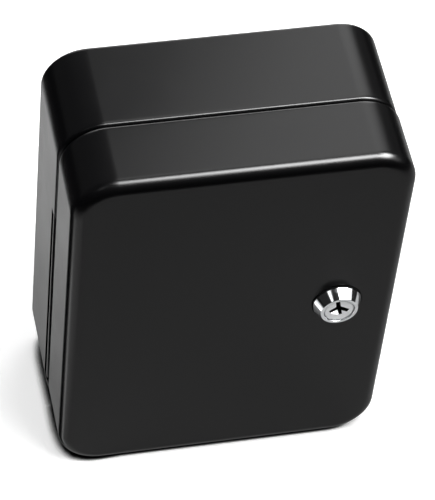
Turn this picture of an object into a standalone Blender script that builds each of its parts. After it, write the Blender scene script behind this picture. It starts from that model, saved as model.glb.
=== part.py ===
# A small steel key cabinet: a drawn case with key hooks, a drawn door on a
# long hinge with nine knuckles, and a cam lock. Lengths are in metres, +Z is up, the wall
# is at +Y and the door looks to -Y. The origin is the middle of the base of
# the box that holds the whole cabinet, lock bezel included. At rest the door
# is shut and the lock is open, with its cam hanging down.

import math

import bmesh
import bpy
from mathutils import Matrix, Vector

# Cabinet
WIDTH = 0.150
HEIGHT = 0.200
CASE_DEPTH = 0.0452
DOOR_DEPTH = 0.0343
SEAM_GAP = 0.0005
DOOR_OFFSET = 0.0005
SHEET = 0.001
CORNER_RADIUS = 0.020
FRONT_FILLET = 0.0056
BACK_FILLET = 0.002
RIM_BEND = 0.0012
RIM_FLANGE = 0.009
DRAW_IN = 0.0004
DRAW_LENGTH = 0.0024
CORNER_SEGMENTS = 10
FILLET_SEGMENTS = 5
BEND_SEGMENTS = 3
DRAW_STEPS = 2

# Clearances between separate pieces, and how far a cutter runs past a wall
SEAT_GAP = 0.0003
OVERRUN = 0.002

# Holes for the screws that hang the cabinet on a wall
WALL_HOLE_RADIUS = 0.003
WALL_HOLE_SPACING = 0.100
WALL_HOLE_INSET = 0.016

# Hinge, low on the left edge, in the seam between case and door
HINGE_LENGTH = 0.120
HINGE_KNUCKLES = 9
BARREL_RADIUS = 0.003
BARREL_INSET = 0.0002
BARREL_GAP = 0.0006
LEAF_SHEET = 0.001
LEAF_REACH = 0.016
PIN_RADIUS = 0.0017
PIN_CLEARANCE = 0.0003
PIN_CHAMFER = 0.0003
HINGE_END_GAP = 0.0006
HINGE_SIDE_RELIEF = 0.0014
RELIEF_CORNER_SHARE = 0.6

# Key hooks: strips with tongues bent forward and up
RAIL_COUNT = 4
RAIL_PITCH = 0.040
TOP_RAIL_DROP = 0.036
RAIL_LENGTH = 0.124
RAIL_PLATE = 0.016
RAIL_SHEET = 0.001
HOOKS_PER_RAIL = 5
HOOK_PITCH = 0.0235
HOOK_WIDTH = 0.004
HOOK_REACH = 0.013
HOOK_BEND = 0.003
HOOK_TIP = 0.004
RIVET_INSET = 0.0055
RIVET_SHANK = 0.0016
RIVET_HEAD = 0.003
RIVET_DOME = 0.0014
RIVET_END_GAP = 0.0002

# Cam lock
LOCK_FROM_SIDE = 0.0275
LOCK_HEIGHT = 0.1035
GASKET_THICKNESS = 0.0005
GASKET_RADIUS = 0.0115
BEZEL_RADIUS = 0.011
BEZEL_LAND = 0.0006
BEZEL_FACE_RADIUS = 0.0086
BEZEL_HEIGHT = 0.005
EDGE_BREAK = 0.0002
LOCK_BODY_RADIUS = 0.009
LOCK_BODY_LENGTH = 0.027
LOCK_BODY_FLATS = 0.0156
NUT_FLATS = 0.022
NUT_THICKNESS = 0.003
NUT_CHAMFER = 0.0006
PLUG_RADIUS = 0.0067
PLUG_CLEARANCE = 0.0003
PLUG_RECESS = 0.0003
SPIGOT_RADIUS = 0.004
SPIGOT_FLATS = 0.006
KEYWAY_WIDTH = 0.0017
KEYWAY_DEPTH = 0.014
KEYWAY_ARM = 0.0052
KEYWAY_SHORT_ARM = 0.004
KEYWAY_ANGLES = (90, 212, 342)
KEYWAY_SHORT_ANGLE = 278
STOP_THICKNESS = 0.001
STOP_RADIUS = 0.0068
STOP_LUG_RADIUS = 0.0086
STOP_LUG_ANGLE = 60
STOP_FREE_ANGLE = 156
STOP_WALL = 0.0011
CAM_THICKNESS = 0.002
CAM_HUB_RADIUS = 0.0078
CAM_WIDTH = 0.0105
CAM_REACH = 0.0235
CAM_STEP_START = 0.0082
CAM_STEP_END = 0.0140
CAM_CATCH_GAP = 0.0016
LOCK_TURN = 90
WASHER_RADIUS = 0.0052
WASHER_THICKNESS = 0.0008
SCREW_RADIUS = 0.0017
SCREW_HEAD_RADIUS = 0.0038
SCREW_HEAD_HEIGHT = 0.0022
SCREW_LENGTH = 0.009
SCREW_SLOT_WIDTH = 0.0009
SCREW_SLOT_DEPTH = 0.0011

# How finely round shapes are cut, and where shading turns sharp
ROUND_STEPS = 36
SMALL_STEPS = 16
MERGE_DISTANCE = 0.00001
SMOOTH_ANGLE = math.radians(40)

# Places that follow from the sizes above
CASE_X = -DOOR_OFFSET / 2
DOOR_X = DOOR_OFFSET / 2
CASE_LEFT = CASE_X - WIDTH / 2
DOOR_LEFT = DOOR_X - WIDTH / 2
DEPTH = CASE_DEPTH + SEAM_GAP + DOOR_DEPTH + GASKET_THICKNESS + BEZEL_HEIGHT
WALL_Y = DEPTH / 2
CASE_RIM_Y = WALL_Y - CASE_DEPTH
DOOR_RIM_Y = CASE_RIM_Y - SEAM_GAP
DOOR_FRONT_Y = DOOR_RIM_Y - DOOR_DEPTH
BACK_INNER_Y = WALL_Y - SHEET
HINGE_X = CASE_LEFT + BARREL_INSET + BARREL_RADIUS
HINGE_Y = DOOR_RIM_Y + BARREL_GAP + BARREL_RADIUS
HINGE_BOTTOM = CORNER_RADIUS
HINGE_MIDDLE = HINGE_BOTTOM + HINGE_LENGTH / 2
NOTCH_LENGTH = HINGE_LENGTH + 2 * HINGE_END_GAP
CASE_LEAF_X = CASE_LEFT + SHEET + SEAT_GAP - HINGE_X
DOOR_LEAF_X = DOOR_LEFT + DRAW_IN + SHEET + SEAT_GAP - HINGE_X
BORE_RADIUS = PIN_RADIUS + PIN_CLEARANCE
LOCK_X = DOOR_LEFT + WIDTH - LOCK_FROM_SIDE
RAIL_REAR_Y = BACK_INNER_Y - SEAT_GAP

# Heights along the lock's own axis, counted forward from the door's front face
BEZEL_BASE = GASKET_THICKNESS + SEAT_GAP / 2
BEZEL_FRONT = GASKET_THICKNESS + BEZEL_HEIGHT
PLUG_FRONT = BEZEL_FRONT - PLUG_RECESS
BODY_REAR = -LOCK_BODY_LENGTH
STOP_FRONT = BODY_REAR - SEAT_GAP
CAM_FRONT = STOP_FRONT - STOP_THICKNESS - SEAT_GAP
CAM_REAR = CAM_FRONT - CAM_THICKNESS
WASHER_FRONT = CAM_REAR - SEAT_GAP
SCREW_SEAT = WASHER_FRONT - WASHER_THICKNESS - SEAT_GAP
SPIGOT_REAR = CAM_REAR + SEAT_GAP
CATCH_FRONT = DOOR_FRONT_Y - CASE_RIM_Y - SHEET - CAM_CATCH_GAP

# A turn that points local Z to the front and leaves local X as it is
FACE_FRONT = (math.pi / 2, 0, 0)

# Finishes: colour, metallic, roughness
BLACK_POWDER_COAT = ((0.012, 0.012, 0.013, 1.0), 0.0, 0.38)
ZINC_PLATE = ((0.42, 0.43, 0.44, 1.0), 1.0, 0.33)
CHROME_PLATE = ((0.72, 0.73, 0.74, 1.0), 1.0, 0.12)
SATIN_CHROME = ((0.60, 0.60, 0.60, 1.0), 1.0, 0.3)
BLACK_RUBBER = ((0.01, 0.01, 0.01, 1.0), 0.0, 0.6)


def clear_scene():
    for thing in list(bpy.data.objects):
        bpy.data.objects.remove(thing, do_unlink=True)


def new_collection(name):
    collection = bpy.data.collections.new(name)
    bpy.context.scene.collection.children.link(collection)
    return collection


def new_material(name, colour, metallic, roughness):
    material = bpy.data.materials.new(name)
    material.use_nodes = True
    shader = material.node_tree.nodes["Principled BSDF"]
    shader.inputs["Base Color"].default_value = colour
    shader.inputs["Metallic"].default_value = metallic
    shader.inputs["Roughness"].default_value = roughness
    return material


def new_axis(name, place, parent):
    # An empty on a joint's axis, which carries the pieces that turn with it.
    axis = bpy.data.objects.new(name, None)
    cabinet.objects.link(axis)
    axis.location = place
    if parent:
        axis.parent = parent
        axis.matrix_parent_inverse = Matrix.Translation(parent_place[parent.name]).inverted()
    parent_place[axis.name] = Vector(place)
    return axis


def add_part(name, mesh, look, parent=None, place=(0, 0, 0), turn=(0, 0, 0)):
    # The place is in world coordinates, also under a parent.
    part = bpy.data.objects.new(name, mesh)
    cabinet.objects.link(part)
    part.location = place
    part.rotation_euler = turn
    mesh.materials.append(new_material(name + "_finish", *look))
    if parent:
        part.parent = parent
        part.matrix_parent_inverse = Matrix.Translation(parent_place[parent.name]).inverted()
    return part


def add_cutter(name, mesh, place=(0, 0, 0), turn=(0, 0, 0)):
    cutter = bpy.data.objects.new(name, mesh)
    cutters.objects.link(cutter)
    cutter.location = place
    cutter.rotation_euler = turn
    cutter.hide_render = True
    cutter.display_type = "WIRE"
    return cutter


def cut(part, cutter, operation="DIFFERENCE"):
    boolean = part.modifiers.new(cutter.name, "BOOLEAN")
    boolean.operation = operation
    boolean.object = cutter
    boolean.solver = "EXACT"


def mesh_from(bm, name):
    mesh = bpy.data.meshes.new(name)
    bm.to_mesh(mesh)
    bm.free()
    return mesh


def box_mesh(name, lows_and_highs):
    # One mesh with a box for each pair of corners.
    bm = bmesh.new()
    for low, high in lows_and_highs:
        low = Vector(low)
        high = Vector(high)
        middle = Matrix.Translation((low + high) / 2)
        bmesh.ops.create_cube(bm, size=1, matrix=middle @ Matrix.Diagonal((*(high - low), 1)))
    return mesh_from(bm, name)


def rod_mesh(name, places, radius, length, segments):
    # One mesh with a round rod along local Z at each place.
    bm = bmesh.new()
    for place in places:
        bmesh.ops.create_cone(
            bm,
            cap_ends=True,
            segments=segments,
            radius1=radius,
            radius2=radius,
            depth=length,
            matrix=Matrix.Translation(place),
        )
    return mesh_from(bm, name)


def profile_mesh(name, points, closed):
    # A profile in local XZ for a Screw modifier, down its outer side.
    bm = bmesh.new()
    ends = [bm.verts.new((radius, 0, height)) for radius, height in points]
    for first, second in zip(ends, ends[1:]):
        bm.edges.new((first, second))
    if closed:
        bm.edges.new((ends[-1], ends[0]))
    return mesh_from(bm, name)


def spin(part, steps):
    screw = part.modifiers.new("turned", "SCREW")
    screw.steps = steps
    screw.render_steps = steps
    screw.use_merge_vertices = True
    screw.merge_threshold = MERGE_DISTANCE
    screw.use_smooth_shade = True


def outline_mesh(name, points, low, high):
    # A flat outline in local XY as a filled 2D curve, made a closed mesh.
    curve = bpy.data.curves.new(name, "CURVE")
    curve.dimensions = "2D"
    curve.fill_mode = "BOTH"
    curve.extrude = (high - low) / 2
    line = curve.splines.new("POLY")
    line.points.add(len(points) - 1)
    for point, (x, y) in zip(line.points, points):
        point.co = (x, y, 0, 1)
    line.use_cyclic_u = True
    holder = bpy.data.objects.new(name, curve)
    bpy.context.scene.collection.objects.link(holder)
    bpy.context.view_layer.update()
    graph = bpy.context.evaluated_depsgraph_get()
    mesh = bpy.data.meshes.new_from_object(holder.evaluated_get(graph))
    bpy.data.objects.remove(holder, do_unlink=True)
    bpy.data.curves.remove(curve)
    bm = bmesh.new()
    bm.from_mesh(mesh)
    bmesh.ops.remove_doubles(bm, verts=bm.verts, dist=MERGE_DISTANCE)
    bmesh.ops.translate(bm, verts=bm.verts, vec=(0, 0, (high + low) / 2))
    bmesh.ops.recalc_face_normals(bm, faces=bm.faces)
    bm.to_mesh(mesh)
    bm.free()
    return mesh


def arc(radius, start, end, steps, middle=(0, 0)):
    # Points on an arc between two angles in degrees, both ends included.
    points = []
    for step in range(steps + 1):
        angle = math.radians(start + (end - start) * step / steps)
        points.append((middle[0] + radius * math.cos(angle), middle[1] + radius * math.sin(angle)))
    return points


def smooth_by_angle(mesh):
    mesh.shade_smooth()
    mesh.set_sharp_from_angle(angle=SMOOTH_ANGLE)


def drawn_tray(name, depth, face_fillet):
    # An open tray in sheet: rounded corners, a filleted face at -Y and a mouth
    # at +Y whose rim is bent inwards. It is centred on the origin.
    bm = bmesh.new()
    bmesh.ops.create_cube(bm, size=1, matrix=Matrix.Diagonal((WIDTH, depth, HEIGHT, 1)))
    corners = [edge for edge in bm.edges if abs(edge.verts[0].co.y - edge.verts[1].co.y) > depth / 2]
    bmesh.ops.bevel(
        bm,
        geom=corners,
        offset=CORNER_RADIUS,
        segments=CORNER_SEGMENTS,
        profile=0.5,
        affect="EDGES",
        material=-1,
    )
    mouth = max(bm.faces, key=lambda face: face.calc_center_median().y)
    bmesh.ops.inset_region(bm, faces=[mouth], thickness=RIM_FLANGE, use_even_offset=True)
    bmesh.ops.delete(bm, geom=[mouth], context="FACES_ONLY")
    for side, radius, segments in ((1, RIM_BEND, BEND_SEGMENTS), (-1, face_fillet, FILLET_SEGMENTS)):
        bmesh.ops.bevel(
            bm,
            geom=edge_loop_at(bm, side * depth / 2),
            offset=radius,
            segments=segments,
            profile=0.5,
            affect="EDGES",
            material=-1,
        )
    draw_in_mouth(bm, depth)
    mesh = mesh_from(bm, name)
    smooth_by_angle(mesh)
    return mesh


def edge_loop_at(bm, plane):
    # The loop of edges in a plane across Y, each between a side and an end.
    loop = []
    for edge in bm.edges:
        level = all(abs(vert.co.y - plane) < MERGE_DISTANCE for vert in edge.verts)
        turns = len(edge.link_faces) == 2 and edge.calc_face_angle() > SMOOTH_ANGLE
        if level and turns:
            loop.append(edge)
    return loop


def draw_in_mouth(bm, depth):
    # Drawing leaves the last stretch before the rim curved a little inwards.
    start = depth / 2 - DRAW_LENGTH
    for step in range(DRAW_STEPS):
        place = start + (DRAW_LENGTH - RIM_BEND) * step / DRAW_STEPS
        bmesh.ops.bisect_plane(
            bm,
            geom=list(bm.verts) + list(bm.edges) + list(bm.faces),
            plane_co=(0, place, 0),
            plane_no=(0, 1, 0),
        )
    for vert in bm.verts:
        inward = DRAW_IN * max(0, (vert.co.y - start) / DRAW_LENGTH) ** 2
        vert.co.x *= 1 - inward / (WIDTH / 2)
        vert.co.z *= 1 - inward / (HEIGHT / 2)


def add_wall(part, thickness):
    solid = part.modifiers.new("sheet", "SOLIDIFY")
    solid.thickness = thickness
    solid.offset = -1
    solid.use_even_offset = True


# Case
def wall_hole_places():
    heights = (WALL_HOLE_INSET, HEIGHT - WALL_HOLE_INSET)
    reach = WALL_HOLE_SPACING / 2
    return [(CASE_X + side * reach, WALL_Y, height) for side in (-1, 1) for height in heights]


def rail_bottom(index):
    return HEIGHT - TOP_RAIL_DROP - index * RAIL_PITCH


def rivet_places(index):
    height = rail_bottom(index) + RAIL_PLATE / 2
    reach = RAIL_LENGTH / 2 - RIVET_INSET
    return [(CASE_X + side * reach, RAIL_REAR_Y, height) for side in (-1, 1)]


def across_back(place):
    # A point of a hole in the back, in the turned coordinates of its cutter.
    return (place[0], place[2], -place[1])


def make_case():
    mesh = drawn_tray("case_shell", CASE_DEPTH, BACK_FILLET)
    place = (CASE_X, CASE_RIM_Y + CASE_DEPTH / 2, HEIGHT / 2)
    case = add_part("case_shell", mesh, BLACK_POWDER_COAT, None, place, (0, 0, math.pi))
    add_wall(case, SHEET)
    length = SHEET + 2 * OVERRUN
    holes = [across_back(point) for point in wall_hole_places()]
    mesh = rod_mesh("wall_holes", holes, WALL_HOLE_RADIUS, length, ROUND_STEPS)
    cut(case, add_cutter("wall_holes", mesh, turn=(math.pi / 2, 0, 0)))
    rivets = [across_back(point) for index in range(RAIL_COUNT) for point in rivet_places(index)]
    mesh = rod_mesh("rivet_holes", rivets, RIVET_SHANK + SEAT_GAP, length, SMALL_STEPS)
    cut(case, add_cutter("rivet_holes", mesh, turn=(math.pi / 2, 0, 0)))
    low = (CASE_LEFT - OVERRUN, CASE_RIM_Y - OVERRUN, HINGE_MIDDLE - NOTCH_LENGTH / 2)
    high = (
        CASE_LEFT + RIM_FLANGE + OVERRUN,
        HINGE_Y + BARREL_RADIUS + BARREL_GAP,
        HINGE_MIDDLE + NOTCH_LENGTH / 2,
    )
    cut(case, add_cutter("case_hinge_notch", box_mesh("case_hinge_notch", [(low, high)])))


# Door
def double_flat_outline(radius, flats):
    # A circle with a flat on each side, as seen along its axis.
    edge = math.degrees(math.acos(flats / 2 / radius))
    steps = ROUND_STEPS // 2
    return arc(radius, edge, 180 - edge, steps) + arc(radius, 180 + edge, 360 - edge, steps)


def lock_place():
    return (LOCK_X, DOOR_FRONT_Y, LOCK_HEIGHT)


def make_door():
    mesh = drawn_tray("door_shell", DOOR_DEPTH, FRONT_FILLET)
    place = (DOOR_X, DOOR_RIM_Y - DOOR_DEPTH / 2, HEIGHT / 2)
    door = add_part("door_shell", mesh, BLACK_POWDER_COAT, door_axis, place)
    add_wall(door, SHEET)
    outline = double_flat_outline(LOCK_BODY_RADIUS + SEAT_GAP, LOCK_BODY_FLATS + 2 * SEAT_GAP)
    mesh = outline_mesh("lock_hole", outline, -SHEET - OVERRUN, OVERRUN)
    cut(door, add_cutter("lock_hole", mesh, lock_place(), FACE_FRONT))
    # The rim makes room for the knuckles, and above and below them it is cut
    # back, so that the door swings past the case.
    bottom = HINGE_MIDDLE - NOTCH_LENGTH / 2
    top = HINGE_MIDDLE + NOTCH_LENGTH / 2
    corner = CORNER_RADIUS * RELIEF_CORNER_SHARE
    inner = DOOR_LEFT + DRAW_IN + SHEET
    far_x = DOOR_LEFT + RIM_FLANGE + OVERRUN
    far_y = DOOR_RIM_Y + OVERRUN
    notch = (inner, DOOR_RIM_Y - RIM_BEND - SEAT_GAP, bottom), (far_x, far_y, top)
    cut(door, add_cutter("door_hinge_notch", box_mesh("door_hinge_notch", [notch])))
    near = (DOOR_LEFT - OVERRUN, DOOR_RIM_Y - HINGE_SIDE_RELIEF)
    spans = ((corner, bottom), (top, HEIGHT - corner))
    reliefs = [((*near, low), (far_x, far_y, high)) for low, high in spans]
    cut(door, add_cutter("door_rim_relief", box_mesh("door_rim_relief", reliefs)))


# Hinge
def leaf_outline(near, side):
    # A rolled knuckle with its leaf, seen from above. The leaf lies against
    # the wall on the knuckle's outer side and runs to +Y or, for the door, -Y.
    far = near + LEAF_SHEET
    start = math.degrees(math.acos(near / BARREL_RADIUS))
    end = 360 + math.degrees(math.acos(far / BARREL_RADIUS))
    points = [(near, LEAF_REACH)]
    points += arc(BARREL_RADIUS, start, end, ROUND_STEPS // 2)
    points.append((far, LEAF_REACH))
    return [(x, side * y) for x, y in points]


def knuckle_box(index):
    # The room that one knuckle takes, with half an end gap on each side.
    pitch = HINGE_LENGTH / HINGE_KNUCKLES
    reach = BARREL_RADIUS + SEAT_GAP
    bottom = index * pitch - HINGE_LENGTH / 2 - SEAT_GAP / 2
    return (-reach, -reach, bottom), (reach, reach, bottom + pitch + SEAT_GAP)


def make_leaf(name, near, side, others, parent):
    place = (HINGE_X, HINGE_Y, HINGE_MIDDLE)
    mesh = outline_mesh(name, leaf_outline(near, side), -HINGE_LENGTH / 2, HINGE_LENGTH / 2)
    smooth_by_angle(mesh)
    leaf = add_part(name, mesh, BLACK_POWDER_COAT, parent, place)
    gaps = box_mesh(name + "_gaps", [knuckle_box(index) for index in others])
    cut(leaf, add_cutter(name + "_gaps", gaps, place))
    bore = rod_mesh(name + "_bore", [(0, 0, 0)], BORE_RADIUS, HINGE_LENGTH + OVERRUN, SMALL_STEPS)
    cut(leaf, add_cutter(name + "_bore", bore, place))


def make_hinge():
    make_leaf("hinge_leaf_case", CASE_LEAF_X, 1, range(1, HINGE_KNUCKLES, 2), None)
    make_leaf("hinge_leaf_door", DOOR_LEAF_X, -1, range(0, HINGE_KNUCKLES, 2), door_axis)
    half = HINGE_LENGTH / 2
    tip = PIN_RADIUS - PIN_CHAMFER
    points = [
        (0, half),
        (tip, half),
        (PIN_RADIUS, half - PIN_CHAMFER),
        (PIN_RADIUS, PIN_CHAMFER - half),
        (tip, -half),
        (0, -half),
    ]
    mesh = profile_mesh("hinge_pin", points, False)
    pin = add_part("hinge_pin", mesh, ZINC_PLATE, None, (HINGE_X, HINGE_Y, HINGE_MIDDLE))
    spin(pin, SMALL_STEPS)


# Key hooks
def hook_path():
    # Stations of a hook's outer face, forward and up from the rail's lower edge.
    stations = []
    for step in range(1, BEND_SEGMENTS + 1):
        angle = math.pi / 2 * step / BEND_SEGMENTS
        stations.append((HOOK_BEND * (math.cos(angle) - 1), -HOOK_BEND * math.sin(angle)))
    for step in range(BEND_SEGMENTS + 1):
        angle = math.pi / 2 * step / BEND_SEGMENTS
        forward = HOOK_REACH - HOOK_BEND + HOOK_BEND * math.sin(angle)
        stations.append((-forward, -HOOK_BEND * math.cos(angle)))
    stations.append((-HOOK_REACH, HOOK_TIP))
    return stations


def rail_mesh():
    bm = bmesh.new()
    first = -HOOK_PITCH * (HOOKS_PER_RAIL - 1) / 2
    middles = [first + HOOK_PITCH * index for index in range(HOOKS_PER_RAIL)]
    places = [-RAIL_LENGTH / 2]
    for middle in middles:
        places += [middle - HOOK_WIDTH / 2, middle + HOOK_WIDTH / 2]
    places.append(RAIL_LENGTH / 2)
    foot = [bm.verts.new((x, 0, 0)) for x in places]
    edges = [bm.edges.new(pair) for pair in zip(foot, foot[1:])]
    raised = bmesh.ops.extrude_edge_only(bm, edges=edges)["geom"]
    lifted = [item for item in raised if isinstance(item, bmesh.types.BMVert)]
    bmesh.ops.translate(bm, verts=lifted, vec=(0, 0, RAIL_PLATE))
    for edge in edges[1::2]:
        grow_hook(bm, edge)
    bmesh.ops.recalc_face_normals(bm, faces=bm.faces)
    if max(bm.faces, key=lambda face: face.calc_center_median().z).normal.y < 0:
        bmesh.ops.reverse_faces(bm, faces=bm.faces)
    mesh = mesh_from(bm, "hook_rail")
    smooth_by_angle(mesh)
    return mesh


def grow_hook(bm, edge):
    for forward, height in hook_path():
        grown = bmesh.ops.extrude_edge_only(bm, edges=[edge])["geom"]
        for item in grown:
            if isinstance(item, bmesh.types.BMVert):
                item.co.y = forward
                item.co.z = height
        edge = next(item for item in grown if isinstance(item, bmesh.types.BMEdge))


def rivet_points():
    dome = arc(1, 90, 0, BEND_SEGMENTS)
    base = RAIL_SHEET + SEAT_GAP / 2
    points = [(RIVET_HEAD * x, base + RIVET_DOME * y) for x, y in dome]
    points[0] = (0, base + RIVET_DOME)
    end = -(SEAT_GAP + SHEET - RIVET_END_GAP)
    return points + [(RIVET_SHANK, base), (RIVET_SHANK, end), (0, end)]


def make_rails():
    rivet = profile_mesh("rail_rivet", rivet_points(), False)
    for index in range(RAIL_COUNT):
        name = "hook_rail_" + str(index + 1)
        place = (CASE_X, RAIL_REAR_Y, rail_bottom(index))
        rail = add_part(name, rail_mesh(), ZINC_PLATE, None, place)
        add_wall(rail, RAIL_SHEET)
        length = RAIL_SHEET + 2 * OVERRUN
        holes = [across_back(point) for point in rivet_places(index)]
        mesh = rod_mesh(name + "_holes", holes, RIVET_SHANK + SEAT_GAP, length, SMALL_STEPS)
        cut(rail, add_cutter(name + "_holes", mesh, turn=(math.pi / 2, 0, 0)))
        for side, point in zip(("left", "right"), rivet_places(index)):
            name = "rail_" + str(index + 1) + "_rivet_" + side
            part = add_part(name, rivet.copy(), ZINC_PLATE, None, point, FACE_FRONT)
            spin(part, SMALL_STEPS)


# Lock, with local Z forward along its axis and local Y up
def add_lock_part(name, mesh, look, parent):
    return add_part(name, mesh, look, parent, lock_place(), FACE_FRONT)


def add_lock_cutter(name, mesh):
    return add_cutter(name, mesh, lock_place(), FACE_FRONT)


def make_lock_body():
    bore = PLUG_RADIUS + PLUG_CLEARANCE
    points = [
        (bore, BEZEL_FRONT),
        (BEZEL_FACE_RADIUS - EDGE_BREAK, BEZEL_FRONT),
        (BEZEL_FACE_RADIUS, BEZEL_FRONT - EDGE_BREAK),
        (BEZEL_RADIUS, BEZEL_BASE + BEZEL_LAND),
        (BEZEL_RADIUS, BEZEL_BASE),
        (LOCK_BODY_RADIUS, BEZEL_BASE),
        (LOCK_BODY_RADIUS, BODY_REAR + EDGE_BREAK),
        (LOCK_BODY_RADIUS - EDGE_BREAK, BODY_REAR),
        (bore, BODY_REAR),
    ]
    mesh = profile_mesh("lock_body", points, True)
    body = add_lock_part("lock_body", mesh, CHROME_PLATE, door_axis)
    spin(body, ROUND_STEPS)
    reach = LOCK_BODY_RADIUS + OVERRUN
    flat = LOCK_BODY_FLATS / 2
    boxes = []
    for side in (-1, 1):
        low = (min(side * flat, side * reach), -reach, BODY_REAR - OVERRUN)
        high = (max(side * flat, side * reach), reach, BEZEL_BASE)
        boxes.append((low, high))
    cut(body, add_lock_cutter("lock_body_flats", box_mesh("lock_body_flats", boxes)))
    # A wall round part of the rear end stops the lug of the stop washer.
    start = -90 + LOCK_TURN / 2 + STOP_FREE_ANGLE / 2
    end = start + 360 - STOP_FREE_ANGLE
    inner = STOP_RADIUS + SEAT_GAP
    outline = arc(LOCK_BODY_FLATS / 2 - EDGE_BREAK, start, end, ROUND_STEPS // 2)
    outline += arc(inner, end, start, ROUND_STEPS // 2)
    mesh = outline_mesh("lock_stop_wall", outline, BODY_REAR - STOP_WALL, BODY_REAR + EDGE_BREAK)
    cut(body, add_lock_cutter("lock_stop_wall", mesh), "UNION")


def ring_mesh(name, inner, outer, low, high):
    points = [(outer, high), (outer, low), (inner, low), (inner, high)]
    return profile_mesh(name, points, True)


def make_gasket():
    inner = LOCK_BODY_RADIUS + SEAT_GAP
    mesh = ring_mesh("lock_gasket", inner, GASKET_RADIUS, SEAT_GAP / 2, GASKET_THICKNESS)
    gasket = add_lock_part("lock_gasket", mesh, BLACK_RUBBER, door_axis)
    spin(gasket, ROUND_STEPS)


def make_nut():
    front = -SHEET - SEAT_GAP
    bm = bmesh.new()
    bmesh.ops.create_cone(
        bm,
        cap_ends=True,
        segments=6,
        radius1=NUT_FLATS / math.sqrt(3),
        radius2=NUT_FLATS / math.sqrt(3),
        depth=NUT_THICKNESS,
        matrix=Matrix.Translation((0, 0, front - NUT_THICKNESS / 2)),
    )
    mesh = mesh_from(bm, "lock_nut")
    nut = add_lock_part("lock_nut", mesh, ZINC_PLATE, door_axis)
    # The corners are turned down to a cone on the side away from the door.
    rear = front - NUT_THICKNESS
    corner = NUT_FLATS / math.sqrt(3) + OVERRUN
    points = [
        (corner, front + OVERRUN),
        (corner, rear + NUT_CHAMFER + OVERRUN / 2),
        (NUT_FLATS / 2 - NUT_CHAMFER, rear),
        (NUT_FLATS / 2 - NUT_CHAMFER, rear - OVERRUN),
        (LOCK_BODY_RADIUS + SEAT_GAP, rear - OVERRUN),
        (LOCK_BODY_RADIUS + SEAT_GAP, front + OVERRUN),
    ]
    cone = add_lock_cutter("nut_cone", profile_mesh("nut_cone", points, True))
    spin(cone, ROUND_STEPS)
    cut(nut, cone, "INTERSECT")


def keyway_arm(name, length, angle):
    bm = bmesh.new()
    low = PLUG_FRONT - KEYWAY_DEPTH
    high = PLUG_FRONT + OVERRUN
    size = (length + KEYWAY_WIDTH / 2, KEYWAY_WIDTH, high - low)
    middle = (length / 2 - KEYWAY_WIDTH / 4, 0, (high + low) / 2)
    place = Matrix.Rotation(math.radians(angle), 4, "Z") @ Matrix.Translation(middle)
    bmesh.ops.create_cube(bm, size=1, matrix=place @ Matrix.Diagonal((*size, 1)))
    return add_lock_cutter(name, mesh_from(bm, name))


def make_plug():
    hole = SCREW_RADIUS + SEAT_GAP
    hole_end = SCREW_SEAT + SCREW_LENGTH + SEAT_GAP
    points = [
        (0, PLUG_FRONT),
        (PLUG_RADIUS - EDGE_BREAK, PLUG_FRONT),
        (PLUG_RADIUS, PLUG_FRONT - EDGE_BREAK),
        (PLUG_RADIUS, BODY_REAR),
        (SPIGOT_RADIUS, BODY_REAR),
        (SPIGOT_RADIUS, SPIGOT_REAR),
        (hole, SPIGOT_REAR),
        (hole, hole_end),
        (0, hole_end),
    ]
    mesh = profile_mesh("lock_plug", points, False)
    plug = add_lock_part("lock_plug", mesh, SATIN_CHROME, lock_axis)
    spin(plug, ROUND_STEPS)
    reach = SPIGOT_RADIUS + OVERRUN
    boxes = []
    for side in (-1, 1):
        low = (min(side * SPIGOT_FLATS / 2, side * reach), -reach, SPIGOT_REAR - OVERRUN)
        high = (max(side * SPIGOT_FLATS / 2, side * reach), reach, BODY_REAR)
        boxes.append((low, high))
    cut(plug, add_lock_cutter("spigot_flats", box_mesh("spigot_flats", boxes)))
    for index, angle in enumerate(KEYWAY_ANGLES):
        cut(plug, keyway_arm("keyway_arm_" + str(index + 1), KEYWAY_ARM, angle))
    cut(plug, keyway_arm("keyway_arm_short", KEYWAY_SHORT_ARM, KEYWAY_SHORT_ANGLE))


def spigot_hole(name, low, high):
    outline = double_flat_outline(SPIGOT_RADIUS + SEAT_GAP, SPIGOT_FLATS + 2 * SEAT_GAP)
    return add_lock_cutter(name, outline_mesh(name, outline, low - OVERRUN, high + OVERRUN))


def make_stop_washer():
    lug = STOP_LUG_ANGLE / 2
    outline = arc(STOP_RADIUS, -90 + lug, 270 - lug, ROUND_STEPS)
    outline += arc(STOP_LUG_RADIUS, 270 - lug, 270 + lug, SMALL_STEPS // 2)
    low = STOP_FRONT - STOP_THICKNESS
    mesh = outline_mesh("stop_washer", outline, low, STOP_FRONT)
    washer = add_lock_part("stop_washer", mesh, ZINC_PLATE, lock_axis)
    cut(washer, spigot_hole("stop_washer_hole", low, STOP_FRONT))


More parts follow.
